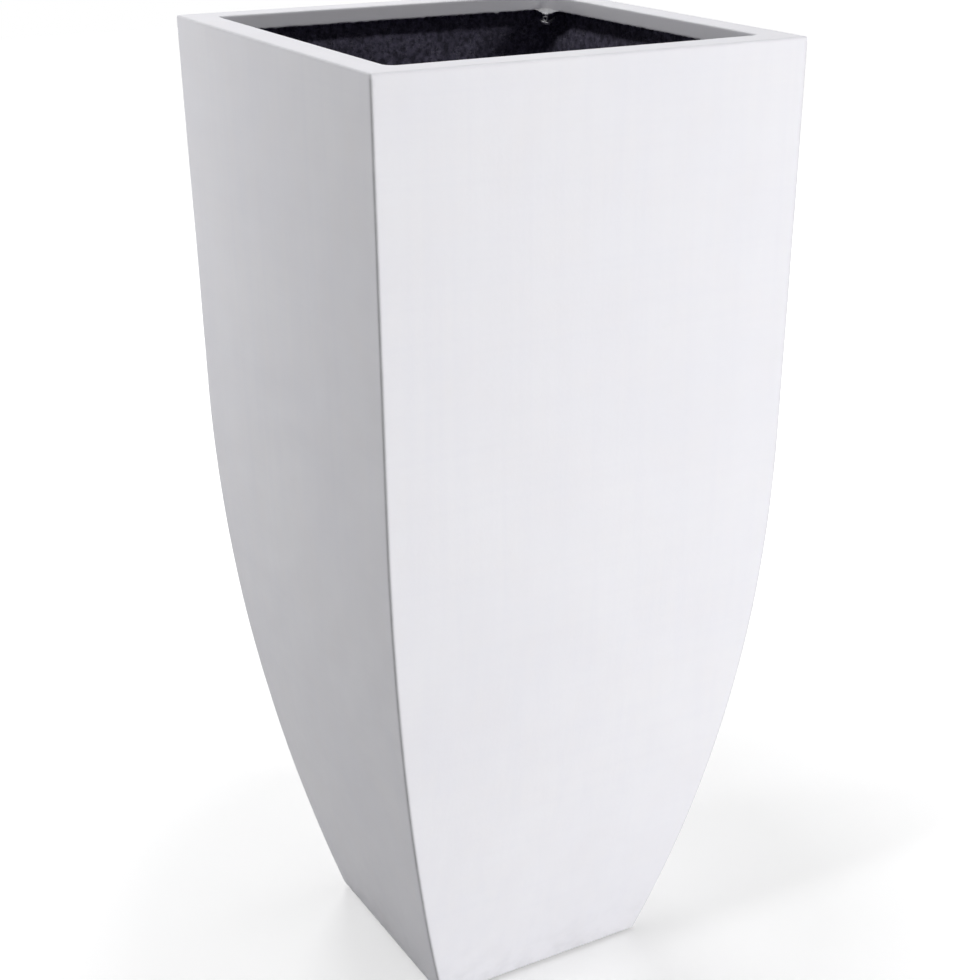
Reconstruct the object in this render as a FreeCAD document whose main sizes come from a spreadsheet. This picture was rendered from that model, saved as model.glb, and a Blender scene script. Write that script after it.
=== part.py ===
import FreeCAD, Part
import math
import os

import Sketcher

# A tall square floor vase of hand-laid fibreglass: four walls that taper, then curve in to a narrow foot.
# Millimetres, +Z up. The origin is on the floor under the middle of the vase, and the front wall faces -Y.

doc = FreeCAD.newDocument("floor_vase")
sheet = doc.addObject("Spreadsheet::Sheet", "sizes")

driving_sizes = [
    # Walls: a straight stretch that draws in a little from the rim to the shoulder, then one arc to the foot
    ("top_width", 400),
    ("body_height", 900),
    ("shoulder_drop", 347),
    ("upper_draw", 4.25),
    ("base_width", 223),
    ("arris_radius", 3),
    ("foot_round", 2.5),
    # Moulded shell and the rough coat that lines it
    ("shell_wall", 5),
    ("shell_floor", 8),
    ("inside_corner_radius", 12),
    ("coat_thickness", 1.5),
    # Rim: a flat frame on the walls, with a lip that drops inside them
    ("rim_width", 28.5),
    ("rim_thickness", 10),
    ("lip_depth", 14),
    ("mouth_corner_radius", 9),
    ("rim_round", 2),
    ("lip_round", 1.5),
    # Run of hard resin under the lip
    ("bead_width", 18),
    ("bead_drop", 7),
    # Drain bush in the floor
    ("drain_bore", 25),
    ("bush_wall", 3),
    ("bush_flange_width", 48),
    ("bush_flange_thickness", 2.5),
    # Drain plug, with a grip to pull it by
    ("plug_reach", 10),
    ("plug_taper", 0.8),
    ("plug_cap_width", 34),
    ("plug_cap_thickness", 3),
    ("grip_width", 18),
    ("grip_height", 16),
    ("grip_thickness", 5),
    ("grip_round", 5),
    ("grip_hole", 8),
    # Pads under the floor
    ("foot_width", 28),
    ("foot_height", 4),
    ("foot_inset", 32),
    ("foot_edge", 1),
    # Fits and cuts
    ("fit_clearance", 0.3),
    ("overrun", 5),
]

# Edges and faces count as being in the same place within this distance
match_tolerance = 0.001

for row, (alias, number) in enumerate(driving_sizes, 1):
    sheet.set(f"A{row}", alias)
    sheet.set(f"B{row}", str(number))
    sheet.setAlias(f"B{row}", alias)
doc.recompute()

# Heights above the floor that several pieces share
shell_under = "sizes.foot_height"
cavity_floor = "sizes.foot_height + sizes.shell_floor"
coat_floor = cavity_floor + " + sizes.coat_thickness"
bush_top = coat_floor + " + sizes.bush_flange_thickness"
rim_top = "sizes.foot_height + sizes.body_height"
wall_top = rim_top + " - sizes.rim_thickness"
lip_under = rim_top + " - sizes.lip_depth"
shoulder = rim_top + " - sizes.shoulder_drop"

# How far the walls stand out at the shoulder, and the lean of their straight stretch
shoulder_reach = "sizes.top_width / 2 - sizes.upper_draw"
wall_lean = "atan(sizes.upper_draw / (sizes.shoulder_drop - sizes.rim_thickness))"

# Distances in from the outer faces of the walls
outer_face = "0"
cavity_inset = "sizes.shell_wall"
coat_inset = "sizes.shell_wall + sizes.coat_thickness"
spigot_inset = coat_inset + " + sizes.fit_clearance"


def value(expression):
    """The number that an expression of the sheet's sizes stands for."""
    return float(sheet.evalExpression(expression))


def fix(sketch, expression, kind, *places):
    """Bind one dimension of a sketch to an expression of the sheet's sizes."""
    index = sketch.addConstraint(Sketcher.Constraint(kind, *places, value(expression)))
    sketch.setExpression(f"Constraints[{index}]", expression)
    return index


def join(sketch, kind, *places):
    """Tie two pieces of a sketch together."""
    sketch.addConstraint(Sketcher.Constraint(kind, *places))


def new_body(label):
    body = doc.addObject("PartDesign::Body", label)
    body.Label = label
    return body


def new_sketch(body, name, plane, height="0"):
    """An empty sketch on one of the body's own planes, raised along the plane's normal."""
    sketch = body.newObject("Sketcher::SketchObject", name)
    sketch.AttachmentSupport = [(next(p for p in body.Origin.OriginFeatures if p.Role == plane), "")]
    sketch.MapMode = "FlatFace"
    sketch.setExpression("AttachmentOffset.Base.z", height)
    return sketch


def polygon(sketch, corners):
    """A closed outline of straight lines, with each corner bound to a pair of expressions."""
    points = [FreeCAD.Vector(value(x), value(y), 0) for x, y in corners]
    lines = [sketch.addGeometry(Part.LineSegment(points[i - 1], points[i])) for i in range(len(points))]
    for i, (x, y) in enumerate(corners):
        join(sketch, "Coincident", lines[i], 2, lines[(i + 1) % len(lines)], 1)
        fix(sketch, x, "DistanceX", -1, 1, lines[i], 2)
        fix(sketch, y, "DistanceY", -1, 1, lines[i], 2)


def square(sketch, width):
    """A square about the middle of the sketch."""
    half = f"({width}) / 2"
    less = f"-({width}) / 2"
    polygon(sketch, [(less, less), (half, less), (half, half), (less, half)])


def circle(sketch, width, across="0", up="0"):
    """A circle of a given width, placed by its middle."""
    middle = FreeCAD.Vector(value(across), value(up), 0)
    ring = sketch.addGeometry(Part.Circle(middle, FreeCAD.Vector(0, 0, 1), value(width) / 2))
    fix(sketch, width, "Diameter", ring)
    fix(sketch, across, "DistanceX", -1, 1, ring, 3)
    fix(sketch, up, "DistanceY", -1, 1, ring, 3)


def pad(body, name, sketch, length, side="One side", down=False):
    feature = body.newObject("PartDesign::Pad", name)
    feature.Profile = sketch
    feature.SideType = side
    feature.Reversed = down
    feature.setExpression("Length", length)
    doc.recompute()
    return feature


def pocket(body, name, sketch):
    """Cut a sketch right through the body, both ways, and make sure that it took something away."""
    before = body.Tip.Shape.Volume
    feature = body.newObject("PartDesign::Pocket", name)
    feature.Profile = sketch
    feature.Type = "ThroughAll"
    feature.SideType = "Symmetric"
    doc.recompute()
    if not feature.Shape.Volume < before:
        raise RuntimeError(f"{body.Label}: {name} cut nothing")
    return feature


def revolution(body, name, sketch):
    """Turn a sketch round its own vertical axis."""
    feature = body.newObject("PartDesign::Revolution", name)
    feature.Profile = sketch
    feature.ReferenceAxis = (sketch, ["V_Axis"])
    doc.recompute()
    return feature


def cut_away(body, name, tool):
    """Take another body's shape out of this one."""
    before = body.Tip.Shape.Volume
    feature = body.newObject("PartDesign::Boolean", name)
    feature.Type = "Cut"
    feature.setObjects([tool])
    doc.recompute()
    if not feature.Shape.Volume < before:
        raise RuntimeError(f"{body.Label}: {name} cut nothing")
    return feature


def round_edges(body, name, radius, wanted):
    """Round the edges of the body's last feature that a test picks out."""
    base = body.Tip
    edges = [f"Edge{i}" for i, edge in enumerate(base.Shape.Edges, 1) if wanted(edge)]
    feature = body.newObject("PartDesign::Fillet", name)
    feature.Base = (base, edges)
    feature.setExpression("Radius", radius)
    doc.recompute()
    return feature


def is_near(a, b):
    return abs(a - b) < match_tolerance


def is_corner(edge):
    """An edge that climbs where two square sides meet, so both its ends lie on a diagonal."""
    ends = [vertex.Point for vertex in edge.Vertexes]
    climbs = len(ends) == 2 and not is_near(ends[0].z, ends[1].z)
    return climbs and all(is_near(abs(end.x), abs(end.y)) for end in ends)


def is_level(edge, height):
    """An edge that lies flat at one height."""
    box = edge.BoundBox
    return is_near(box.ZMin, height) and is_near(box.ZMax, height)


def reach(edge):
    """How far an edge reaches out from the middle of the vase, along X or Y."""
    box = edge.BoundBox
    return max(abs(box.XMin), abs(box.XMax), abs(box.YMin), abs(box.YMax))


# Wall curve: half of the outer outline, which gives the arc's centre and radius to every wall face
wall_curve = doc.addObject("Sketcher::SketchObject", "wall_curve")
wall_curve.Placement.Rotation = FreeCAD.Rotation(FreeCAD.Vector(1, 0, 0), 90)
lean = math.radians(value(wall_lean))
brow = FreeCAD.Vector(value(shoulder_reach), value(shoulder), 0)
heel = FreeCAD.Vector(value("sizes.base_width / 2"), value(shell_under), 0)
inward = FreeCAD.Vector(-math.cos(lean), math.sin(lean), 0)
chord = heel - brow
first_radius = chord.dot(chord) / (2 * chord.dot(inward))
first_centre = brow + inward * first_radius
heel_angle = -math.asin((first_centre.y - heel.y) / first_radius)
straight = wall_curve.addGeometry(
    Part.LineSegment(FreeCAD.Vector(value("sizes.top_width / 2"), value(wall_top), 0), brow)
)
arc = wall_curve.addGeometry(
    Part.ArcOfCircle(Part.Circle(first_centre, FreeCAD.Vector(0, 0, 1), first_radius), heel_angle, -lean)
)
join(wall_curve, "Tangent", straight, 2, arc, 2)
fix(wall_curve, "sizes.top_width / 2", "DistanceX", -1, 1, straight, 1)
fix(wall_curve, wall_top, "DistanceY", -1, 1, straight, 1)
fix(wall_curve, shoulder_reach, "DistanceX", -1, 1, straight, 2)
fix(wall_curve, shoulder, "DistanceY", -1, 1, straight, 2)
fix(wall_curve, "sizes.base_width / 2", "DistanceX", -1, 1, arc, 1)
fix(wall_curve, shell_under, "DistanceY", -1, 1, arc, 1)
measures = [
    ("arc_radius", Sketcher.Constraint("Radius", arc, first_radius)),
    ("centre_reach", Sketcher.Constraint("DistanceX", arc, 3, -1, 1, -first_centre.x)),
    ("centre_height", Sketcher.Constraint("DistanceY", -1, 1, arc, 3, first_centre.y)),
]
for measure, constraint in measures:
    index = wall_curve.addConstraint(constraint)
    wall_curve.setDriving(index, False)
    wall_curve.renameConstraint(index, measure)
doc.recompute()


def wall_outline(sketch, inset, low, high):
    """Closed outline of two facing walls, set in from their outer faces, between two heights."""
    radius = f"wall_curve.Constraints.arc_radius / 1 mm - ({inset})"
    centre_reach = "wall_curve.Constraints.centre_reach / 1 mm"
    centre_height = "wall_curve.Constraints.centre_height / 1 mm"
    brow_height = f"{shoulder} + ({inset}) * sin({wall_lean})"
    arc_radius = value(radius)
    lean = math.radians(value(wall_lean))
    low_angle = -math.asin((value(centre_height) - value(low)) / arc_radius)
    sides = []
    for way in (1, -1):
        centre = FreeCAD.Vector(-way * value(centre_reach), value(centre_height), 0)
        brow = centre + FreeCAD.Vector(way * math.cos(lean), -math.sin(lean), 0) * arc_radius
        top = FreeCAD.Vector(brow.x + way * (value(high) - brow.y) * math.tan(lean), value(high), 0)
        angles = (low_angle, -lean) if way > 0 else (math.pi + lean, math.pi - low_angle)
        ring = Part.Circle(centre, FreeCAD.Vector(0, 0, 1), arc_radius)
        line = sketch.addGeometry(Part.LineSegment(top, brow))
        arc = sketch.addGeometry(Part.ArcOfCircle(ring, *angles))
        # An arc runs anticlockwise, so it starts at the foot on the right and at the shoulder on the left
        foot_end, brow_end = (1, 2) if way > 0 else (2, 1)
        join(sketch, "Tangent", line, 2, arc, brow_end)
        sides.append((line, arc, foot_end))
    (line, arc, foot_end), (far_line, far_arc, far_foot_end) = sides
    feet = [sketch.getPoint(arc, foot_end), sketch.getPoint(far_arc, far_foot_end)]
    tops = [sketch.getPoint(line, 1), sketch.getPoint(far_line, 1)]
    under = sketch.addGeometry(Part.LineSegment(*feet))
    over = sketch.addGeometry(Part.LineSegment(*tops))
    join(sketch, "Coincident", under, 1, arc, foot_end)
    join(sketch, "Coincident", under, 2, far_arc, far_foot_end)
    join(sketch, "Coincident", over, 1, line, 1)
    join(sketch, "Coincident", over, 2, far_line, 1)
    join(sketch, "Symmetric", arc, 3, far_arc, 3, -2)
    join(sketch, "Symmetric", line, 1, far_line, 1, -2)
    join(sketch, "Equal", arc, far_arc)
    join(sketch, "Horizontal", under)
    fix(sketch, radius, "Radius", arc)
    fix(sketch, centre_reach, "DistanceX", arc, 3, -1, 1)
    fix(sketch, centre_height, "DistanceY", -1, 1, arc, 3)
    fix(sketch, brow_height, "DistanceY", -1, 1, line, 2)
    fix(sketch, high, "DistanceY", -1, 1, line, 1)
    fix(sketch, low, "DistanceY", -1, 1, arc, foot_end)


def tapered_form(label, inset, low, high, corner_radius):
    """A square solid with the walls' curve on all four sides, set in from their outer faces."""
    body = new_body(label)
    front = new_sketch(body, "front_outline", "XZ_Plane")
    wall_outline(front, inset, low, high)
    pad(body, "block", front, "sizes.top_width + 2 * sizes.overrun", "Symmetric")
    side = new_sketch(body, "side_outline", "YZ_Plane")
    wall_outline(side, inset, low, high)
    beyond = "(sizes.top_width / 2 + 2 * sizes.overrun)"
    below = f"{low} - sizes.overrun"
    above = f"{high} + sizes.overrun"
    polygon(side, [(f"-{beyond}", below), (beyond, below), (beyond, above), (f"-{beyond}", above)])
    pocket(body, "sides", side)
    round_edges(body, "corners", corner_radius, is_corner)
    return body


def drain_hole(body):
    """The round hole in the floor that the drain bush is bonded into."""
    outline = new_sketch(body, "drain_outline", "XY_Plane", shell_under)
    circle(outline, "sizes.drain_bore + 2 * sizes.bush_wall + 2 * sizes.fit_clearance")
    pocket(body, "drain_hole", outline)


# Outer shell: walls and floor in one moulding
cavity_top = wall_top + " + sizes.overrun"
outer_shell = tapered_form("outer_shell", outer_face, shell_under, wall_top, "sizes.arris_radius")
round_edges(outer_shell, "foot_edge", "sizes.foot_round", lambda edge: is_level(edge, value(shell_under)))
shell_cavity = tapered_form(
    "shell_cavity", cavity_inset, cavity_floor, cavity_top, "sizes.inside_corner_radius"
)
cut_away(outer_shell, "cavity", shell_cavity)
drain_hole(outer_shell)

# Inner coat: a rough lining on the shell's walls and floor, up to the rim
coat_corner = "sizes.inside_corner_radius - sizes.coat_thickness"
inner_coat = tapered_form("inner_coat", cavity_inset, cavity_floor, wall_top, "sizes.inside_corner_radius")
coat_cavity = tapered_form("coat_cavity", coat_inset, coat_floor, cavity_top, coat_corner)
cut_away(inner_coat, "cavity", coat_cavity)
drain_hole(inner_coat)

# Rim frame: a flange on top of the walls, and a spigot that locates it inside the coat
rim_frame = new_body("rim_frame")
flange_outline = new_sketch(rim_frame, "flange_outline", "XY_Plane", wall_top)
square(flange_outline, "sizes.top_width")
pad(rim_frame, "flange", flange_outline, "sizes.rim_thickness")
round_edges(rim_frame, "flange_corners", "sizes.arris_radius", is_corner)
spigot_outline = new_sketch(rim_frame, "spigot_outline", "XY_Plane", wall_top)
square(spigot_outline, f"sizes.top_width - 2 * ({spigot_inset})")
pad(rim_frame, "spigot", spigot_outline, "sizes.lip_depth - sizes.rim_thickness", down=True)
round_edges(rim_frame, "spigot_corners", f"{coat_corner} - sizes.fit_clearance", is_corner)
mouth_outline = new_sketch(rim_frame, "mouth_outline", "XY_Plane", rim_top)
mouth_width = "sizes.top_width - 2 * sizes.rim_width"
square(mouth_outline, mouth_width)
pocket(rim_frame, "mouth", mouth_outline)
round_edges(rim_frame, "mouth_corners", "sizes.mouth_corner_radius", is_corner)
mouth_reach = value(mouth_width) / 2
round_edges(
    rim_frame,
    "outer_edge",
    "sizes.rim_round",
    lambda edge: is_level(edge, value(rim_top)) and reach(edge) > mouth_reach + match_tolerance,
)
round_edges(
    rim_frame,
    "mouth_edges",
    "sizes.lip_round",
    lambda edge: (is_level(edge, value(rim_top)) or is_level(edge, value(lip_under)))
    and reach(edge) < mouth_reach + match_tolerance,
)

# Resin bead: a run of hard resin that hangs under the lip in the back right corner
resin_bead = new_body("resin_bead")
bead_outline = new_sketch(resin_bead, "bead_outline", "XZ_Plane")
bead_round = "((sizes.bead_width / 2) ^ 2 + sizes.bead_drop ^ 2) / (2 * sizes.bead_drop)"
bead_edge = FreeCAD.Vector(value("sizes.bead_width / 2"), 0, 0)
bead_tip = FreeCAD.Vector(0, -value("sizes.bead_drop"), 0)
bead_middle = FreeCAD.Vector(0, value(f"{bead_round} - sizes.bead_drop"), 0)
bead_ring = Part.Circle(bead_middle, FreeCAD.Vector(0, 0, 1), value(bead_round))
edge_angle = math.atan2(-bead_middle.y, bead_edge.x)
dome = bead_outline.addGeometry(Part.ArcOfCircle(bead_ring, -math.pi / 2, edge_angle))
seat = bead_outline.addGeometry(Part.LineSegment(bead_edge, FreeCAD.Vector(0, 0, 0)))
axis = bead_outline.addGeometry(Part.LineSegment(FreeCAD.Vector(0, 0, 0), bead_tip))
join(bead_outline, "Coincident", dome, 2, seat, 1)
join(bead_outline, "Coincident", seat, 2, axis, 1)
join(bead_outline, "Coincident", axis, 2, dome, 1)
join(bead_outline, "Coincident", seat, 2, -1, 1)
join(bead_outline, "Horizontal", seat)
join(bead_outline, "Vertical", axis)
join(bead_outline, "PointOnObject", dome, 3, -2)
fix(bead_outline, "sizes.bead_width / 2", "DistanceX", seat, 2, seat, 1)
fix(bead_outline, "sizes.bead_drop", "DistanceY", axis, 2, axis, 1)
revolution(resin_bead, "dome", bead_outline)
mouth_corner = f"({mouth_width}) / 2 - sizes.mouth_corner_radius * (1 - cos(45))"
bead_place = f"{mouth_corner} + (sizes.bead_width / 2 + sizes.lip_round) * cos(45)"
resin_bead.setExpression("Placement.Base.x", bead_place)
resin_bead.setExpression("Placement.Base.y", bead_place)
resin_bead.setExpression("Placement.Base.z", lip_under)

# Drain bush: a flanged sleeve in the floor, flush with the shell's underside
drain_bush = new_body("drain_bush")
bush_outline = new_sketch(drain_bush, "bush_outline", "XZ_Plane")
bore_reach = "sizes.drain_bore / 2"
sleeve_reach = "sizes.drain_bore / 2 + sizes.bush_wall"
flange_reach = "sizes.bush_flange_width / 2"
polygon(
    bush_outline,
    [
        (bore_reach, shell_under),
        (sleeve_reach, shell_under),
        (sleeve_reach, coat_floor),
        (flange_reach, coat_floor),
        (flange_reach, bush_top),
        (bore_reach, bush_top),
    ],
)
revolution(drain_bush, "sleeve", bush_outline)

# Drain plug: a tapered stopper under a cap, with a flat grip that has a finger hole
drain_plug = new_body("drain_plug")
plug_outline = new_sketch(drain_plug, "plug_outline", "XZ_Plane")
cap_under = f"{bush_top} + sizes.fit_clearance"
cap_top = f"{cap_under} + sizes.plug_cap_thickness"
stopper_reach = "sizes.drain_bore / 2 - sizes.fit_clearance"
polygon(
    plug_outline,
    [
        ("0", f"{cap_under} - sizes.plug_reach"),
        (f"{stopper_reach} - sizes.plug_taper", f"{cap_under} - sizes.plug_reach"),
        (stopper_reach, cap_under),
        ("sizes.plug_cap_width / 2", cap_under),
        ("sizes.plug_cap_width / 2", cap_top),
        ("0", cap_top),
    ],
)
revolution(drain_plug, "stopper", plug_outline)
grip_outline = new_sketch(drain_plug, "grip_outline", "XZ_Plane")
grip_side = "sizes.grip_width / 2"
grip_top = f"{cap_top} + sizes.grip_height"
polygon(
    grip_outline,
    [(f"-{grip_side}", cap_top), (grip_side, cap_top), (grip_side, grip_top), (f"-{grip_side}", grip_top)],
)
circle(grip_outline, "sizes.grip_hole", "0", f"{cap_top} + sizes.grip_height / 2")
pad(drain_plug, "grip", grip_outline, "sizes.grip_thickness", "Symmetric")
round_edges(
    drain_plug,
    "grip_corners",
    "sizes.grip_round",
    lambda edge: is_level(edge, value(grip_top)) and is_near(edge.BoundBox.XMin, edge.BoundBox.XMax),
)

# Feet: four pads under the corners of the floor
feet = []
foot_place = "sizes.base_width / 2 - sizes.foot_inset"
for depth_name, depth_sign in (("front", "-"), ("back", "")):
    for side_name, side_sign in (("left", "-"), ("right", "")):
        foot = new_body(f"foot_{depth_name}_{side_name}")
        foot_outline = new_sketch(foot, "foot_outline", "XZ_Plane")
        foot_reach = "sizes.foot_width / 2"
        polygon(
            foot_outline,
            [
                ("0", "0"),
                (f"{foot_reach} - sizes.foot_edge", "0"),
                (foot_reach, "sizes.foot_edge"),
                (foot_reach, "sizes.foot_height"),
                ("0", "sizes.foot_height"),
            ],
        )
        revolution(foot, "pad", foot_outline)
        foot.setExpression("Placement.Base.x", f"{side_sign}({foot_place})")
        foot.setExpression("Placement.Base.y", f"{depth_sign}({foot_place})")
        feet.append(foot)

doc.recompute()

pieces = [outer_shell, inner_coat, rim_frame, resin_bead, drain_bush, drain_plug, *feet]
for item in doc.Objects:
    if "Invalid" in item.State or "Error" in item.State:
        raise RuntimeError(f"{item.Label} failed: {item.State}")
for piece in pieces:
    if piece.Shape.isNull() or not piece.Shape.isValid() or len(piece.Shape.Solids) != 1:
        raise RuntimeError(f"{piece.Label} isn't one valid solid")

os.makedirs("parts", exist_ok=True)
for piece in pieces:
    piece.Shape.exportStep(f"parts/{piece.Label}.step")
    print(f"{piece.Label}: {piece.Shape.Volume:.0f} mm3")
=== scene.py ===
import math

import bpy
import numpy as np
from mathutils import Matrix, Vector, noise


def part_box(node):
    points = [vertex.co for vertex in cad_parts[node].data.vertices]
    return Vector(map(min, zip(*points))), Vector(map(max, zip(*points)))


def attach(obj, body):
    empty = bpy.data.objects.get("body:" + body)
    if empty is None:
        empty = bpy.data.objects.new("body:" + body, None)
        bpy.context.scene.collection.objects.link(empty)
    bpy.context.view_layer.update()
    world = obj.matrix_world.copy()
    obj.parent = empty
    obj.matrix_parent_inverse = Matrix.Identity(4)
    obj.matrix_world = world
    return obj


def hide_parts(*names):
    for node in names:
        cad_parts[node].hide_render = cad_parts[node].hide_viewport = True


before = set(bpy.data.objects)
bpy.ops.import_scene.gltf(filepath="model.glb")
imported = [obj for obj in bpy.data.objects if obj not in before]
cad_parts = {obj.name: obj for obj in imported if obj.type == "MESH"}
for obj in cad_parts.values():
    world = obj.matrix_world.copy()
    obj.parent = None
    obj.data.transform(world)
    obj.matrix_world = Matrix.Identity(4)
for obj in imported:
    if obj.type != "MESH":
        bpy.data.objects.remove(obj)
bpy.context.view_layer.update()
scene = bpy.context.scene
print("frame loaded:", len(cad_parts), "nodes")

shellLow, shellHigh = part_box("outer_shell")
rimLow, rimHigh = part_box("rim_frame")
coatLow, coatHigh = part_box("inner_coat")
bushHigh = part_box("drain_bush")[1]

# wall faces: a straight stretch under the rim, then one arc down to the foot
walls = {
    "shoulderDrop": 0.347,  # rim top to the end of the straight stretch
    "upperDraw": 0.00425,  # how far each wall comes in over that stretch
    "baseWidth": 0.223,
    "thickness": 0.005,
    "arris": 0.0024,  # rounding of the four upright edges
    "footRound": 0.0025,
    "insideCorner": 0.012,
    "drainHole": 0.0158,
    "wave": 0.0003,  # hand-laid unevenness of the faces
    "waveLength": 0.17,
    "waveFineness": 3,  # how much shorter the second wave is
    "waveShares": (0.7, 0.3),
    "edgeShadeWidth": 0.0019,  # how far the painted shade line along an upright edge fades
    "scuffHeight": 0.03,  # how high the scuffs at the foot fade
    "sidePoints": 46,
    "loops": {"foot": 7, "arc": 110, "straight": 44, "inside": 60, "floor": 6, "underside": 10},
    "loopGaps": (0.002, 0.006, 0.004),  # above the foot's rounding, above the shoulder, below the seam
}
shoulder = rimHigh.z - walls["shoulderDrop"]
lean = math.atan2(walls["upperDraw"], shellHigh.z - shoulder)
brow = Vector((shellHigh.x - walls["upperDraw"], shoulder))
heel = Vector((walls["baseWidth"] / 2, shellLow.z))
inward = Vector((-math.cos(lean), math.sin(lean)))
chord = heel - brow
arcRadius = chord.length_squared / (2 * chord.dot(inward))
arcCentre = brow + inward * arcRadius
levelled = np.array([1, 1, 0])  # takes the height out of points


def wallHalf(z, inset=0.0):  # half the width at one height, with the faces set in by a distance
    if z >= shoulder + inset * math.sin(lean):
        return brow.x + (z - shoulder) * math.tan(lean) - inset / math.cos(lean)
    return arcCentre.x + math.sqrt((arcRadius - inset) ** 2 - (z - arcCentre.y) ** 2)


# mesh helpers: every hollow piece is a ring of loops with the same number of points
def crowded(count):  # places along a side, -1 to 1, closer together near the corners
    return np.sin(np.linspace(-math.pi / 2, math.pi / 2, count))


def squareLoop(half, corner, z, places, cornerSteps=6):  # one corner radius, or one for each corner
    corners = np.broadcast_to(corner, 4)
    turn = np.linspace(0, math.pi / 2, cornerSteps + 2)[1:-1]
    sides = []
    for quarter in range(4):
        radius, lastRadius = corners[quarter], corners[quarter - 1]
        flat = half - radius
        along = np.interp(places, (-1, 1), (lastRadius - half, flat))
        across = np.concatenate([along, flat + radius * np.sin(turn)])
        out = np.concatenate([np.full(len(places), -half), -flat - radius * np.cos(turn)])
        side = np.column_stack([across, out])
        for _ in range(quarter):
            side = np.column_stack([-side[:, 1], side[:, 0]])
        sides.append(side)
    flatLoop = np.concatenate(sides)
    return np.column_stack([flatLoop, np.full(len(flatLoop), z)])


def roundLoop(like, radius, z):  # a circle whose points face those of another loop
    angle = np.arctan2(like[:, 1], like[:, 0])
    return np.column_stack([radius * np.cos(angle), radius * np.sin(angle), np.full(len(angle), z)])


def between(first, last, count):  # loops that fill the space between two loops
    return [first + (last - first) * share for share in np.linspace(0, 1, count + 2)[1:-1]]


def arcPoints(centre, radius, start, end, count):  # points of a rounding, seen in section
    angles = np.radians(np.linspace(start, end, count))
    return [(centre[0] + radius * math.cos(a), centre[1] + radius * math.sin(a)) for a in angles]


def fading(distance, reach):  # 1 at no distance, close to 0 at twice the reach
    return np.exp(-((distance / reach) ** 2))


seedShift = (3.17, 1.71, 2.39)  # how far apart the noise of two seeds is taken


def rippled(points, length, seed):  # smooth noise, about -1 to 1, with bumps of one length
    shift = Vector([seed * part for part in seedShift])
    return np.array([noise.noise(Vector(p) / length + shift) for p in points])


def rippleAlong(distance, rate, place):  # the same along a line
    return noise.noise(Vector((distance * rate, *place)))


def newPiece(name, points, faces, sharpAngle=None):
    mesh = bpy.data.meshes.new(name)
    mesh.from_pydata(points, [], faces)
    mesh.polygons.foreach_set("use_smooth", np.ones(len(mesh.polygons), bool))
    if sharpAngle:
        mesh.set_sharp_from_angle(angle=math.radians(sharpAngle))
    mesh.update()
    piece = bpy.data.objects.new(name, mesh)
    scene.collection.objects.link(piece)
    return piece


def loft(name, loops, sharpAngle=38):  # the last loop joins the first, so the piece is closed
    count = len(loops[0])
    row = np.arange(len(loops))[:, None] * count
    column = np.arange(count)[None, :]
    nextRow = np.roll(row, -1, 0)
    nextColumn = np.roll(column, -1, 1)
    quads = np.stack([row + column, row + nextColumn, nextRow + nextColumn, nextRow + column], -1)
    return newPiece(name, np.concatenate(loops).tolist(), quads.reshape(-1, 4).tolist(), sharpAngle)


def keepShare(piece, name, shares):  # a share for each point, which the material reads
    attribute = piece.data.attributes.new(name, "FLOAT", "POINT")
    attribute.data.foreach_set("value", np.asarray(shares, np.float32))


def waveWalls(points):  # faces laid by hand are never dead flat
    length, fineLength = walls["waveLength"], walls["waveLength"] / walls["waveFineness"]
    broad, fine = walls["waveShares"]
    wave = broad * rippled(points, length, seed=1) + fine * rippled(points, fineLength, seed=2)
    reach = np.abs(points[:, :2]).max(1)
    points[:, :2] *= (1 + walls["wave"] * wave / reach)[:, None]


def arrisShare(points):  # 1 on an upright edge, 0 away from it
    gap = np.abs(np.abs(points[:, 0]) - np.abs(points[:, 1]))
    return fading(gap, walls["edgeShadeWidth"])


def buildShell():
    places = crowded(walls["sidePoints"])
    arris, footRound, steps = walls["arris"], walls["footRound"], walls["loops"]
    aboveFoot, aboveShoulder, belowSeam = walls["loopGaps"]
    rootAngle = math.degrees(math.asin((arcCentre.y - shellLow.z) / arcRadius))
    setBack = footRound / math.tan(math.radians(90 + rootAngle) / 2)
    centre = (heel.x - setBack, shellLow.z + footRound)
    outline = [(x, arris, z) for x, z in arcPoints(centre, footRound, -90, -rootAngle, steps["foot"])]
    heights = np.concatenate([
        np.linspace(outline[-1][2] + aboveFoot, shoulder, steps["arc"]),
        np.linspace(shoulder + aboveShoulder, shellHigh.z - belowSeam, steps["straight"]),
        [shellHigh.z],
    ])
    outline += [(wallHalf(z), arris, z) for z in heights]
    outer = [squareLoop(*step, places) for step in outline]
    for loop in outer[steps["foot"]:]:
        waveWalls(loop)
    floorTop = coatLow.z
    inner = [
        squareLoop(wallHalf(z, walls["thickness"]), walls["insideCorner"], z, places)
        for z in np.linspace(shellHigh.z, floorTop, steps["inside"])
    ]
    holeTop = roundLoop(inner[-1], walls["drainHole"], floorTop)
    holeUnder = roundLoop(outer[0], walls["drainHole"], shellLow.z)
    loops = outer + inner + between(inner[-1], holeTop, steps["floor"]) + [holeTop, holeUnder]
    loops += between(holeUnder, outer[0], steps["underside"])
    piece = loft("outer_shell_skin", loops)
    points = np.concatenate(loops)
    reach = np.abs(points[:, :2]).max(1)
    onFace = reach > np.array([wallHalf(z) for z in points[:, 2]]) - arris
    aboveFloor = np.clip(points[:, 2] - shellLow.z, 0, None)
    # edge share: where the paint gets a line of painted shade along the upright edges
    keepShare(piece, "edge", arrisShare(points) * onFace)
    keepShare(piece, "foot", np.exp(-aboveFloor / walls["scuffHeight"]))
    return piece


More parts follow.
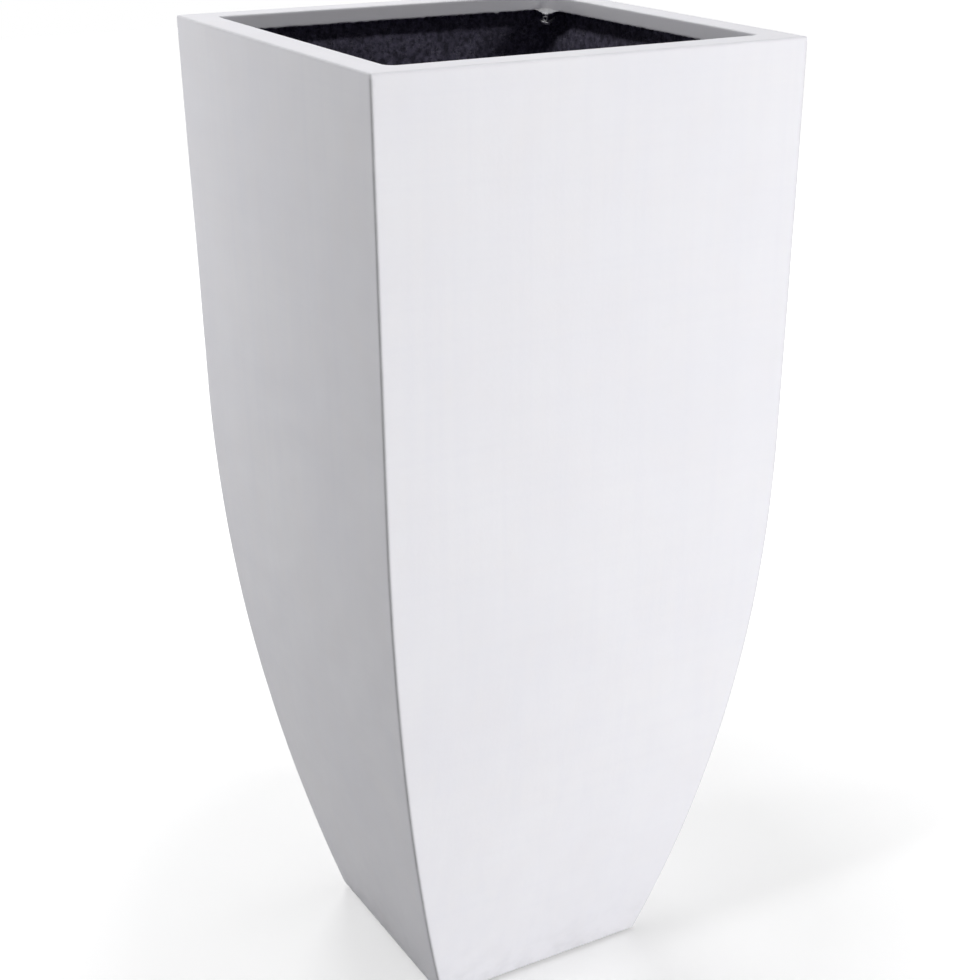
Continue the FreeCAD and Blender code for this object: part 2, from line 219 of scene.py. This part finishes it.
# rim: a flat frame on the walls, with a lip that drops inside them
rim = {
    "width": 0.0285,
    "outerRound": 0.002,
    "lipRound": 0.0015,
    # corners of the mouth: front right, back right, back left, front left
    "mouthCorners": np.array([0.009, 0.009, 0.006, 0.009]),
    "spigotInset": 0.0068,
    "spigotCorner": 0.0102,
    "ragged": 0.00055,  # uneven paint along the lip's lower edge
    "raggedFrom": 0.005,  # below the rim's top
    "raggedLengths": (0.004, 0.0017),
    "raggedShares": (1, 0.8),
    "nick": (0.1155, 0.1715),  # where the paint of the back lip hangs in a small drop
    "nickWidth": 0.0021,
    "nickDrop": 0.0015,
    "edgeShadeFade": 0.0016,  # how far the painted shade line along the top edge fades
    "topEdgeShade": 0.5,  # its strength beside that of the upright edges
    "edgeShadeStart": 0.002,  # where the painted shade line of the upright edges begins, below the top
    "edgeShadeGrowth": 0.003,  # and how soon it is at its full strength
    "sidePoints": 150,
    "loops": {"side": 9, "outerRound": 7, "lipRound": 6, "lip": 9, "top": 8, "under": 5},
}
mouthHalf = rimHigh.x - rim["width"]


def buildRim():
    places = np.linspace(-1, 1, rim["sidePoints"])
    half, top, seam, under = rimHigh.x, rimHigh.z, shellHigh.z, rimLow.z
    arris, outerRound, lipRound, steps = walls["arris"], rim["outerRound"], rim["lipRound"], rim["loops"]
    outline = [(half, arris, z) for z in np.linspace(seam, top - outerRound, steps["side"])]
    outerCentre = (half - outerRound, top - outerRound)
    for x, z in arcPoints(outerCentre, outerRound, 0, 90, steps["outerRound"])[1:]:
        outline.append((x, arris - (half - x), z))
    upperCentre = (mouthHalf + lipRound, top - lipRound)
    lowerCentre = (mouthHalf + lipRound, under + lipRound)
    edge = arcPoints(upperCentre, lipRound, 90, 180, steps["lipRound"])
    edge += [(mouthHalf, z) for z in np.linspace(top - lipRound, under + lipRound, steps["lip"])[1:-1]]
    edge += arcPoints(lowerCentre, lipRound, 180, 270, steps["lipRound"])
    outer = [squareLoop(*step, places) for step in outline]
    lip = [squareLoop(x, rim["mouthCorners"] + x - mouthHalf, z, places) for x, z in edge]
    for loop in outer:
        waveWalls(loop)
    raggedFrom = rim["raggedFrom"]
    (broadLength, fineLength), (broad, fine) = rim["raggedLengths"], rim["raggedShares"]
    for loop in lip:
        lower = np.clip((top - raggedFrom - loop[:, 2]) / (top - under - raggedFrom), 0, 1) ** 2
        flat = loop * levelled
        hang = broad * rippled(flat, broadLength, seed=5) + fine * rippled(flat, fineLength, seed=6)
        fromNick = np.hypot(loop[:, 0] - rim["nick"][0], loop[:, 1] - rim["nick"][1])
        loop[:, 2] += rim["ragged"] * lower * hang
        loop[:, 2] -= rim["nickDrop"] * lower * fading(fromNick, rim["nickWidth"])
    spigotHalf = half - rim["spigotInset"]
    spigotHeights = (under, (under + seam) / 2, seam)
    spigot = [squareLoop(spigotHalf, rim["spigotCorner"], z, places) for z in spigotHeights]
    loops = outer + between(outer[-1], lip[0], steps["top"])
    loops += lip + between(lip[-1], spigot[0], steps["under"]) + spigot
    piece = loft("rim_frame_skin", loops)
    points = np.concatenate(loops)
    reach = np.abs(points[:, :2]).max(1)
    nearRim = fading(reach - half, rim["edgeShadeFade"])
    nearTop = fading(points[:, 2] - top, rim["edgeShadeFade"])
    belowTop = np.clip((top - points[:, 2] - rim["edgeShadeStart"]) / rim["edgeShadeGrowth"], 0, 1)
    upright = arrisShare(points) * nearRim * belowTop
    # edge share: painted shade along the upright edges and the outer top edge
    keepShare(piece, "edge", np.maximum(upright, rim["topEdgeShade"] * nearRim * nearTop))
    keepShare(piece, "foot", np.zeros(len(points)))
    return piece


# rough coat on the inside: chopped glass strands under black paint
coat = {
    "thickness": 0.0015,
    "corner": 0.0105,
    "floorRound": 0.006,
    "broad": 0.0008,  # unevenness of the lay-up
    "broadLength": 0.022,
    "strand": 0.0010,  # lumps where strands cross
    "strandLength": 0.0058,
    "strandFineness": 2.2,  # how much shorter the fine lumps are
    "strandShares": (0.6, 0.5),
    "bendRough": (0.5, 0.3),  # lumps in the bend to the floor, sideways and upwards
    "floorRough": 0.8,
    "smoothMargin": 0.004,  # smooth floor around the bush's flange
    "smoothFade": 0.006,
    "denseDepth": 0.1,  # closer loops below the lip, where the coat shows
    "sparseDepth": 0.105,  # where the wider ones begin
    "sharpAngle": 75,
    "sidePoints": 94,
    "loops": {"dense": 42, "sparse": 150, "back": 12, "bend": 5, "floor": 34, "underside": 4},
}


def roughen(points, directions):
    lumpShare, fineShare = coat["strandShares"]
    broad = coat["broad"] * rippled(points, coat["broadLength"], seed=11)
    lumps = 1 - np.abs(rippled(points, coat["strandLength"], seed=12)) * 2
    fine = rippled(points, coat["strandLength"] / coat["strandFineness"], seed=13)
    return points + directions * (broad + coat["strand"] * (lumpShare * lumps + fineShare * fine))[:, None]


def buildCoat():
    places = np.linspace(-1, 1, coat["sidePoints"])
    corner, floorRound, steps = coat["corner"], coat["floorRound"], coat["loops"]
    inset = walls["thickness"] + coat["thickness"]
    floorTop = coatLow.z + coat["thickness"]
    bendTop = floorTop + floorRound
    heights = np.concatenate([
        np.linspace(coatHigh.z, coatHigh.z - coat["denseDepth"], steps["dense"]),
        np.linspace(coatHigh.z - coat["sparseDepth"], bendTop, steps["sparse"]),
    ])
    outer = [
        squareLoop(wallHalf(z, walls["thickness"]), walls["insideCorner"], z, places)
        for z in np.linspace(coatLow.z, coatHigh.z, steps["back"])
    ]
    inner = [squareLoop(wallHalf(z, inset), corner, z, places) for z in heights]
    bend = []
    for angle in np.linspace(0, math.pi / 2, steps["bend"])[1:]:
        reach = wallHalf(bendTop, inset) - floorRound * (1 - math.cos(angle))
        bend.append(squareLoop(reach, corner, floorTop + floorRound * (1 - math.sin(angle)), places))
    foot = inner[-1]
    holeTop = roundLoop(foot, walls["drainHole"], floorTop)
    holeUnder = roundLoop(foot, walls["drainHole"], coatLow.z)
    inwards = -foot * levelled
    inwards /= np.linalg.norm(inwards, axis=1)[:, None]
    sideways, upwards = coat["bendRough"]
    rough = [inner[0]] + [roughen(loop, inwards) for loop in inner[1:]]
    rough += [roughen(loop, sideways * inwards + np.array([0, 0, upwards])) for loop in bend]
    smoothReach = bushHigh.x + coat["smoothMargin"]
    for loop in between(bend[-1], holeTop, steps["floor"]):
        fromBush = np.hypot(loop[:, 0], loop[:, 1]) - smoothReach
        share = np.clip(fromBush / coat["smoothFade"], 0, 1)[:, None]
        rough.append(loop + (roughen(loop, np.array([[0, 0, coat["floorRough"]]])) - loop) * share)
    loops = outer + rough + [holeTop, holeUnder] + between(holeUnder, outer[0], steps["underside"])
    return loft("inner_coat_rough", loops, coat["sharpAngle"])


# resin in the far corner: a painted run along the lip, and a curl and a thread under it
resin = {
    "runReach": (0.0105, 0.0205),  # along the back lip and the right lip, from the corner
    "runRise": 0.0046,  # how far it goes up the lip
    "runEndRise": 0.35,  # share of that at its two ends
    "runSunk": 0.0002,  # its upper edge lies this far inside the lip
    "runBuried": 0.0006,  # and so far its back
    "runThickness": (0.0002, 0.0021),  # at its ends and in the corner
    "runSwell": 2.2,  # how late it thickens on the way down
    "runHang": 0.0046,  # lowest point below the lip
    "runLeastHang": 0.0004,
    "dripSharpness": 2.2,
    "rippleShare": 0.35,
    "ripple": {"rate": 520, "place": (0.7, 3.1)},
    "curlSize": 0.0021,  # radius of the ring that the curl makes
    "curlDrop": 0.0118,  # its middle, below the lip
    "curlAside": (-0.0068, 0.0022),  # its middle, from the corner
    "curlTop": 0.0004,  # how far its stem goes into the lip
    "curlTurn": -1.9 * math.pi,
    "curlThread": 0.0011,
    "curlTip": 0.75,  # share of that where the stem begins
    "threadSize": (0.0013, 0.0019),  # at the ends and in the middle
    "threadEnds": ((0.1772, 0.1937, 0.8780), (0.1918, 0.1886, 0.8795)),
    "threadSag": 0.0042,
    "threadBow": 0.0035,  # how far its middle stands off the corner
    "threadWobble": 0.0006,
    "wobble": {"rate": 5.0, "place": (4.4, 0.3)},
    "threadLumps": 0.3,
    "lumps": {"rate": 9.0, "place": (1.2, 7.7)},
    "threadSwell": 1.5,
    "flatness": 0.35,  # depth of a strand, as a share of its width
    "steps": {"run": 44, "runFace": 9, "runEdge": 7, "thread": 30, "stem": 9, "curl": 30, "strand": 14},
}
upward = Vector((0, 0, 1))
toCorner = Vector((1, 1, 0)).normalized()


def sweep(name, rings):  # skin over rings of points, closed at both ends
    count = len(rings[0])
    faces = []
    for ring in range(len(rings) - 1):
        for step in range(count):
            after = (step + 1) % count
            low, high = ring * count, (ring + 1) * count
            faces.append((low + step, low + after, high + after, high + step))
    last = (len(rings) - 1) * count
    faces += [tuple(reversed(range(count))), tuple(range(last, last + count))]
    return newPiece(name, [tuple(p) for ring in rings for p in ring], faces)


def ringAt(middle, along, across, size):  # an oval across a path, flat towards the corner
    first = along.cross(across).normalized()
    second = first.cross(along).normalized()
    steps = resin["steps"]["strand"]
    ring = []
    for angle in [2 * math.pi * step / steps for step in range(steps)]:
        offset = (first * math.cos(angle) + second * math.sin(angle)) * size
        offset -= toCorner * offset.dot(toCorner) * (1 - resin["flatness"])
        ring.append(middle + offset)
    return ring


def cornerPath(distance):  # place on the lip's face, so far along it from the corner, and the way out
    radius = rim["mouthCorners"][1]
    flat = mouthHalf - radius
    halfTurn = radius * math.pi / 4
    if abs(distance) <= halfTurn:
        angle = math.pi / 4 - distance / radius
        out = Vector((math.cos(angle), math.sin(angle), 0))
        return Vector((flat, flat, 0)) + out * radius, out
    past = abs(distance) - halfTurn
    if distance < 0:
        return Vector((flat - past, mouthHalf, 0)), Vector((0, 1, 0))
    return Vector((mouthHalf, flat - past, 0)), Vector((1, 0, 0))


def buildRun():
    alongBack, alongRight = resin["runReach"]
    thinnest, thickest = resin["runThickness"]
    buried, sunk, endRise, steps = resin["runBuried"], resin["runSunk"], resin["runEndRise"], resin["steps"]
    rings = []
    for distance in np.linspace(-alongBack, alongRight, steps["run"]):
        place, out = cornerPath(distance)
        share = distance / (alongRight if distance > 0 else alongBack)
        drip = (1 - share ** 2) ** resin["dripSharpness"]
        ripple = rippleAlong(distance, **resin["ripple"])
        hang = resin["runHang"] * drip * (1 + resin["rippleShare"] * ripple)
        hang += resin["runLeastHang"] * (1 - abs(share))
        thick = thinnest + thickest * drip
        top = rimLow.z + resin["runRise"] * (endRise + (1 - endRise) * drip)
        bottom = rimLow.z - hang
        bulge = thick / 2
        profile = [(-buried, top)]
        for step in np.linspace(0, 1, steps["runFace"]):
            swell = (thick + sunk) * step ** resin["runSwell"] - sunk
            profile.append((swell, top + (bottom + bulge - top) * step))
        for angle in np.linspace(0, math.pi, steps["runEdge"])[1:]:
            profile.append((bulge * (1 + math.cos(angle)), bottom + bulge * (1 - math.sin(angle))))
        profile.append((-buried, bottom + bulge))
        rings.append([place - out * x + upward * z for x, z in profile])
    return sweep("resin_run", rings)


def strand(name, path, sizes, across):  # a flat strand along a path
    rings = []
    for step, middle in enumerate(path):
        along = (path[min(step + 1, len(path) - 1)] - path[max(step - 1, 0)]).normalized()
        rings.append(ringAt(middle, along, across, sizes[step]))
    return sweep(name, rings)


def buildThread():
    first, last = (Vector(end) for end in resin["threadEnds"])
    thinnest, thickest = resin["threadSize"]
    path, sizes = [], []
    for share in np.linspace(0, 1, resin["steps"]["thread"]):
        arch = 4 * share * (1 - share)  # 0 at the ends, 1 in the middle
        wobble = rippleAlong(share, **resin["wobble"]) * resin["threadWobble"] * arch
        sag = upward * (resin["threadSag"] * arch - wobble)
        path.append(first.lerp(last, share) - sag - toCorner * resin["threadBow"] * arch)
        lump = 1 + resin["threadLumps"] * rippleAlong(share, **resin["lumps"])
        sizes.append((thinnest + (thickest - thinnest) * arch ** resin["threadSwell"]) * lump)
    return strand("resin_thread", path, sizes, upward)


def buildCurl():
    inset = walls["thickness"] + coat["thickness"]
    reach = (wallHalf(rimLow.z, inset) - coat["corner"]) * math.sqrt(2) + coat["corner"]
    size, tip, steps = resin["curlSize"], resin["curlTip"], resin["steps"]
    centre = toCorner * (reach - size) + Vector((*resin["curlAside"], rimLow.z - resin["curlDrop"]))
    sideways = toCorner.cross(upward)
    path = []
    for z in np.linspace(rimLow.z + resin["curlTop"], centre.z + size, steps["stem"])[:-1]:
        path.append(Vector((centre.x, centre.y, z)) + sideways * size)
    for turn in np.linspace(0, resin["curlTurn"], steps["curl"]):
        path.append(centre + (sideways * math.cos(turn) + upward * math.sin(turn)) * size)
    grown = [min(1, step / steps["stem"]) for step in range(len(path))]
    sizes = [resin["curlThread"] * (tip + (1 - tip) * share) for share in grown]
    return strand("resin_curl", path, sizes, toCorner)


# node helpers
def startMaterial(name):
    material = bpy.data.materials.new(name)
    material.use_nodes = True
    tree = material.node_tree
    return material, tree, tree.nodes["Principled BSDF"]


def fillSocket(tree, socket, value):  # with a link or with a plain value
    if isinstance(value, bpy.types.NodeSocket):
        tree.links.new(value, socket)
    else:
        socket.default_value = value


def addNode(tree, kind, settings=None, **inputs):
    node = tree.nodes.new(kind)
    for key, value in (settings or {}).items():
        setattr(node, key, value)
    for key, value in inputs.items():
        fillSocket(tree, node.inputs[key], value)
    return node


def objectPlace(tree, stretch):  # place on the piece in metres, stretched for grain
    place = addNode(tree, "ShaderNodeTexCoord").outputs["Object"]
    node = addNode(tree, "ShaderNodeVectorMath", {"operation": "MULTIPLY"})
    fillSocket(tree, node.inputs[0], place)
    fillSocket(tree, node.inputs[1], stretch)
    return node.outputs[0]


def noiseOf(tree, scale, detail=3, stretch=(1, 1, 1), rough=0.55):
    place = objectPlace(tree, stretch)
    node = addNode(tree, "ShaderNodeTexNoise", Vector=place, Scale=scale, Detail=detail, Roughness=rough)
    return node.outputs["Fac"]


def mathOf(tree, operation, first, second):
    node = addNode(tree, "ShaderNodeMath", {"operation": operation})
    for socket, value in zip(node.inputs, (first, second)):
        fillSocket(tree, socket, value)
    return node.outputs[0]


def times(tree, first, second):
    return mathOf(tree, "MULTIPLY", first, second)


def ranged(tree, value, low, high, newLow=0.0, newHigh=1.0):
    node = addNode(tree, "ShaderNodeMapRange", {"clamp": True}, Value=value)
    for key, number in (("From Min", low), ("From Max", high), ("To Min", newLow), ("To Max", newHigh)):
        node.inputs[key].default_value = number
    return node.outputs["Result"]


def layer(tree, span, **grain):  # noise brought from one span to 0 and 1, or to another span
    return ranged(tree, noiseOf(tree, **grain), *span)


def mixed(tree, share, first, second):  # colours, which are the node's sockets 6 and 7
    node = addNode(tree, "ShaderNodeMix", {"data_type": "RGBA"})
    for number, value in ((0, share), (6, first), (7, second)):
        fillSocket(tree, node.inputs[number], value)
    return node.outputs[2]


def bumped(tree, height, strength, distance, under=None):
    node = addNode(tree, "ShaderNodeBump", Height=height, Strength=strength, Distance=distance)
    if under is not None:
        tree.links.new(under, node.inputs["Normal"])
    return node.outputs["Normal"]


def dimpled(tree, strength, distance, **grain):
    return bumped(tree, noiseOf(tree, **grain), strength, distance)


def attributeOf(tree, name):
    return addNode(tree, "ShaderNodeAttribute", {"attribute_name": name}).outputs["Fac"]


def dress(tree, shader, colour, roughness, normal, plain):  # plain: what is the same all over
    for name, value in (("Base Color", colour), ("Roughness", roughness), ("Normal", normal)):
        tree.links.new(value, shader.inputs[name])
    for name, value in plain.items():
        shader.inputs[name].default_value = value


paint = {
    "white": (0.862, 0.858, 0.892, 1),
    "cool": (0.818, 0.816, 0.868, 1),
    "warm": (0.848, 0.826, 0.842, 1),
    # darker grey: painted shade along the edges, and wear at the foot
    "wearAndShadeGrey": (0.54, 0.535, 0.56, 1),
    "coolShare": 0.5,
    "warmShare": 0.3,
    "strokeShares": (0.3, 0.2),  # up and down, and across
    "broad": {"scale": 5.5, "detail": 2, "span": (0.35, 0.7)},
    "patches": {"scale": 21, "span": (0.4, 0.75)},
    "strokesUp": {"scale": 1, "detail": 2, "stretch": (85, 85, 2.2), "span": (0.42, 0.72)},
    "strokesAcross": {"scale": 1, "detail": 2, "stretch": (3, 3, 130), "span": (0.45, 0.75)},
    # noise that breaks up the painted shade on the edges
    "edgeShadeNoise": {"scale": 60, "span": (0.3, 0.7, 0.7, 1.0)},
    "footWear": {"scale": 48, "detail": 4, "span": (0.42, 0.8, 0.0, 0.4)},
    "roughness": {"scale": 34, "span": (0.3, 0.7, 0.54, 0.68)},
    "peel": {"scale": 260, "detail": 2, "strength": 0.10, "distance": 0.0006},
    "strokeBump": (0.06, 0.0004),
    "plain": {"Specular IOR Level": 0.35},
}


def paintMaterial():
    material, tree, shader = startMaterial("satin_white_paint")
    shareUp, shareAcross = paint["strokeShares"]
    strokesUp = layer(tree, **paint["strokesUp"])
    strokesAcross = layer(tree, **paint["strokesAcross"])
    strokes = mathOf(tree, "ADD", times(tree, strokesUp, shareUp), times(tree, strokesAcross, shareAcross))
    broad = times(tree, layer(tree, **paint["broad"]), paint["coolShare"])
    patches = times(tree, layer(tree, **paint["patches"]), paint["warmShare"])
    # painted shade: a darker, patchy line along the upright edges and the rim's top edge
    edge = times(tree, attributeOf(tree, "edge"), layer(tree, **paint["edgeShadeNoise"]))
    scuff = times(tree, attributeOf(tree, "foot"), layer(tree, **paint["footWear"]))
    colour = mixed(tree, broad, paint["white"], paint["cool"])
    # edge mixes in painted shade; scuff is wear at the foot
    for share, tint in ((patches, "warm"), (strokes, "cool"), (edge, "wearAndShadeGrey"), (scuff, "wearAndShadeGrey")):
        colour = mixed(tree, share, colour, paint[tint])
    brushed = mathOf(tree, "ADD", strokesUp, strokesAcross)
    normal = bumped(tree, brushed, *paint["strokeBump"], dimpled(tree, **paint["peel"]))
    dress(tree, shader, colour, layer(tree, **paint["roughness"]), normal, paint["plain"])
    return material


coatLook = {
    "black": (0.07, 0.066, 0.094, 1),
    "blue": (0.215, 0.2, 0.285, 1),
    "dusty": (0.33, 0.315, 0.4, 1),
    "blotches": {"scale": 150, "rough": 0.6, "span": (0.4, 0.62)},
    "patches": {"scale": 24, "span": (0.3, 0.65, 0.35, 1.0)},
    "strands": {"scale": 1, "span": (0.54, 0.68)},
    "strandWays": ((520, 520, 210), (190, 190, 560), (360, 460, 340)),
    "dust": {"scale": 90, "detail": 2, "span": (0.45, 0.7, 0.1, 0.7)},
    "roughness": {"scale": 120, "span": (0.3, 0.7, 0.45, 0.8)},
    "lumps": {"scale": 330, "detail": 4, "strength": 0.55, "distance": 0.0012},
    "strandBump": (0.5, 0.0007),
    "plain": {"Specular IOR Level": 0.07},
}


def coatMaterial():
    material, tree, shader = startMaterial("black_lay_up_coat")
    patches = times(tree, layer(tree, **coatLook["blotches"]), layer(tree, **coatLook["patches"]))
    strands = [layer(tree, stretch=way, **coatLook["strands"]) for way in coatLook["strandWays"]]
    crossed = mathOf(tree, "MAXIMUM", mathOf(tree, "MAXIMUM", strands[0], strands[1]), strands[2])
    dust = times(tree, crossed, layer(tree, **coatLook["dust"]))
    colour = mixed(tree, patches, coatLook["black"], coatLook["blue"])
    colour = mixed(tree, dust, colour, coatLook["dusty"])
    normal = bumped(tree, crossed, *coatLook["strandBump"], dimpled(tree, **coatLook["lumps"]))
    dress(tree, shader, colour, layer(tree, **coatLook["roughness"]), normal, coatLook["plain"])
    return material


resinLooks = {
    "painted_resin": {
        "first": (0.8, 0.8, 0.815, 1),
        "second": (0.74, 0.735, 0.73, 1),
        "smear": {"scale": 190, "span": (0.52, 0.8, 0.0, 0.6)},
        "roughness": {"scale": 300, "detail": 2, "span": (0.3, 0.7, 0.2, 0.45)},
        "dimples": {"scale": 420, "detail": 2, "strength": 0.2, "distance": 0.0004},
        "plain": {},
    },
    "coated_resin": {
        "first": (0.2, 0.2, 0.21, 1),
        "second": (0.74, 0.735, 0.73, 1),
        "smear": {"scale": 210, "span": (0.35, 0.6, 0.15, 1.0)},
        "roughness": {"scale": 260, "detail": 2, "span": (0.3, 0.7, 0.06, 0.2)},
        "dimples": {"scale": 320, "detail": 2, "strength": 0.25, "distance": 0.0005},
        "plain": {
            "IOR": 2.4,
            "Specular IOR Level": 1.0,
            "Coat Weight": 1.0,
            "Coat Roughness": 0.05,
            "Coat IOR": 2.4,
        },
    },
}


def resinMaterial(name):
    look = resinLooks[name]
    material, tree, shader = startMaterial(name)
    colour = mixed(tree, layer(tree, **look["smear"]), look["first"], look["second"])
    roughness, normal = layer(tree, **look["roughness"]), dimpled(tree, **look["dimples"])
    dress(tree, shader, colour, roughness, normal, look["plain"])
    return material


mouldings = {
    "bush_plastic": {
        "dark": (0.15, 0.15, 0.156, 1),
        "pale": (0.25, 0.25, 0.256, 1),
        "roughness": (0.34, 0.5),
        "grain": 900,
    },
    "plug_rubber": {
        "dark": (0.33, 0.325, 0.315, 1),
        "pale": (0.47, 0.465, 0.455, 1),
        "roughness": (0.6, 0.82),
        "grain": 620,
    },
    "pad_rubber": {
        "dark": (0.075, 0.075, 0.077, 1),
        "pale": (0.13, 0.128, 0.125, 1),
        "roughness": (0.7, 0.9),
        "grain": 480,
    },
}
mouldedGrain = {
    "bloom": {"scale": 130, "detail": 4, "span": (0.42, 0.72)},
    "bloomShare": 0.6,
    "specks": {"scale": 1500, "detail": 2, "span": (0.62, 0.72, 0.0, 0.5)},
    "sheenScale": 240,
    "sheenSpan": (0.3, 0.7),
    "bump": {"strength": 0.25, "distance": 0.0003},
}


def mouldedMaterial(name):
    look = mouldings[name]
    material, tree, shader = startMaterial(name)
    bloom = times(tree, layer(tree, **mouldedGrain["bloom"]), mouldedGrain["bloomShare"])
    share = mathOf(tree, "MAXIMUM", bloom, layer(tree, **mouldedGrain["specks"]))
    colour = mixed(tree, share, look["dark"], look["pale"])
    span = (*mouldedGrain["sheenSpan"], *look["roughness"])
    roughness = layer(tree, span, scale=mouldedGrain["sheenScale"])
    normal = dimpled(tree, scale=look["grain"], **mouldedGrain["bump"])
    dress(tree, shader, colour, roughness, normal, {})
    return material


# build and dress the pieces
wallPaint = paintMaterial()
shell = buildShell()
rimPiece = buildRim()
for piece, node in ((shell, "outer_shell"), (rimPiece, "rim_frame")):
    piece.data.materials.append(wallPaint)
    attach(piece, "vase")
    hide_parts(node)
print("shell and rim built")

coatPiece = buildCoat()
coatPiece.data.materials.append(coatMaterial())
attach(coatPiece, "vase")
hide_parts("inner_coat")
print("coat built:", len(coatPiece.data.polygons), "faces")

run = buildRun()
run.data.materials.append(resinMaterial("painted_resin"))
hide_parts("resin_bead")
bareResin = resinMaterial("coated_resin")
thread, curl = buildThread(), buildCurl()
for piece in (thread, curl):
    piece.data.materials.append(bareResin)
for piece in (run, thread, curl):
    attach(piece, "vase")
print("resin built")

for slot, names in (
    ("bush_plastic", ["drain_bush"]),
    ("plug_rubber", ["drain_plug"]),
    ("pad_rubber", [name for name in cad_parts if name.startswith("foot_")]),
):
    material = mouldedMaterial(slot)
    for name in names:
        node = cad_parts[name]
        for place in node.material_slots:
            place.material = material
print("bush, plug and pads dressed")

# camera
shot = {
    "azimuth": -30.26,
    "elevation": 21.88,
    "distance": 1.6754,
    "aimHeight": 0.4728,
    "aimAside": 0.0353,
    "focalPixels": 1760.2,
    "middlePixel": 519.6,  # where the lens points, across the image
    "imagePixels": 980,
    "sensorWidth": 36,
}


def placeCamera():
    around, above = math.radians(shot["azimuth"]), math.radians(shot["elevation"])
    level = math.cos(above)
    back = Vector((math.sin(around) * level, -math.cos(around) * level, math.sin(above)))
    right = Vector((math.cos(around), math.sin(around), 0))
    camera = bpy.data.objects.new("camera", bpy.data.cameras.new("camera"))
    scene.collection.objects.link(camera)
    camera.location = Vector((0, 0, shot["aimHeight"])) + right * shot["aimAside"] + back * shot["distance"]
    camera.rotation_euler = (-back).to_track_quat("-Z", "Y").to_euler()
    camera.data.sensor_width = shot["sensorWidth"]
    camera.data.lens = shot["focalPixels"] / shot["imagePixels"] * camera.data.sensor_width
    camera.data.shift_x = -(shot["middlePixel"] - shot["imagePixels"] / 2) / shot["imagePixels"]
    scene.camera = camera


# studio: pale floor, soft boxes and a dim surround
studio = {
    "aim": (0, 0, 0.5),
    "boxes": {
        "key": {"from": (0.601, -0.528, 0.599), "distance": 3.36, "size": (1.5, 0.25), "watts": 26,
                "facing": (0, 0.67, -0.74), "shine": False},
        "side": {"from": (-0.597, -0.176, 0.781), "distance": 2.33, "size": (0.25, 0.25), "watts": 12.5},
        "fill": {"from": (-0.76, 0.56, 0.32), "distance": 1.15, "size": (0.25, 0.25), "watts": 2.9,
                 "shine": False},
        "top": {"from": (0.05, 0.15, 1.0), "distance": 2.4, "size": (1.4, 1.4), "watts": 16.5},
        "low": {"from": (0.5, -0.86, -0.06), "distance": 4.5, "size": (1.8, 0.5), "watts": 148,
                "shine": False},
        "rear": {"from": (0.15, 0.80, 0.58), "distance": 3.2, "size": (1.0, 0.6), "watts": 30,
                 "shine": False},
    },
    "surround": 0.045,
    "floorColour": (0.72, 0.72, 0.72, 1),
    "floorSize": 14,
    "floorLift": 0.42,  # what the camera sees on top of the lit floor
    "floorFade": (0.35, 1.3),  # from the middle, where the floor goes over into plain white
}
plainWhite = (1, 1, 1, 1)


def seenRay(tree):  # 1 for what the camera sees, straight on, in gloss or through glass
    path = addNode(tree, "ShaderNodeLightPath")
    seen = mathOf(tree, "MAXIMUM", path.outputs["Is Camera Ray"], path.outputs["Is Glossy Ray"])
    return mathOf(tree, "MAXIMUM", seen, path.outputs["Is Transmission Ray"])


def joined(tree, kind, first, second, **inputs):  # two shaders brought together by one node
    node = addNode(tree, kind, **inputs)
    sockets = [socket for socket in node.inputs if socket.type == "SHADER"]
    tree.links.new(first.outputs[0], sockets[0])
    tree.links.new(second.outputs[0], sockets[1])
    return node


def lightBox(name, box):  # "shine": whether it shows in gloss
    lamp = bpy.data.lights.new(name, "AREA")
    lamp.shape = "RECTANGLE"
    lamp.size, lamp.size_y = box["size"]
    lamp.energy = box["watts"]
    piece = bpy.data.objects.new(name, lamp)
    scene.collection.objects.link(piece)
    way = Vector(box["from"]).normalized()
    piece.location = Vector(studio["aim"]) + way * box["distance"]
    facing = Vector(box.get("facing", -way))
    piece.rotation_euler = facing.to_track_quat("-Z", "Y").to_euler()
    piece.visible_camera = False
    piece.visible_glossy = box.get("shine", True)


def buildSurround():
    world = bpy.data.worlds.new("surround")
    scene.world = world
    world.use_nodes = True
    tree = world.node_tree
    tree.nodes.clear()
    lit = addNode(tree, "ShaderNodeBackground", Color=plainWhite, Strength=studio["surround"])
    plain = addNode(tree, "ShaderNodeBackground", Color=plainWhite, Strength=1.0)
    both = joined(tree, "ShaderNodeMixShader", lit, plain, Fac=seenRay(tree))
    tree.links.new(both.outputs[0], addNode(tree, "ShaderNodeOutputWorld").inputs["Surface"])


def floorMaterial():
    material = bpy.data.materials.new("pale_floor")
    material.use_nodes = True
    tree = material.node_tree
    tree.nodes.clear()
    place = addNode(tree, "ShaderNodeTexCoord").outputs["Object"]
    away = addNode(tree, "ShaderNodeVectorMath", {"operation": "LENGTH"}, Vector=place).outputs["Value"]
    glow = times(tree, seenRay(tree), ranged(tree, away, *studio["floorFade"], studio["floorLift"], 1.0))
    matt = addNode(tree, "ShaderNodeBsdfDiffuse", Color=studio["floorColour"])
    lift = addNode(tree, "ShaderNodeEmission", Color=plainWhite, Strength=glow)
    lifted = joined(tree, "ShaderNodeAddShader", matt, lift)
    clear = addNode(tree, "ShaderNodeBsdfTransparent")
    below = addNode(tree, "ShaderNodeNewGeometry").outputs["Backfacing"]
    oneSided = joined(tree, "ShaderNodeMixShader", lifted, clear, Fac=below)
    tree.links.new(oneSided.outputs[0], addNode(tree, "ShaderNodeOutputMaterial").inputs["Surface"])
    return material


def buildFloor():
    half = studio["floorSize"] / 2
    corners = [(-half, -half, 0), (half, -half, 0), (half, half, 0), (-half, half, 0)]
    floor = newPiece("floor", corners, [(0, 1, 2, 3)])
    floor.data.materials.append(floorMaterial())


placeCamera()
for name, box in studio["boxes"].items():
    lightBox(name, box)
buildSurround()
buildFloor()
scene.view_settings.view_transform = "Standard"
print("camera and studio placed")
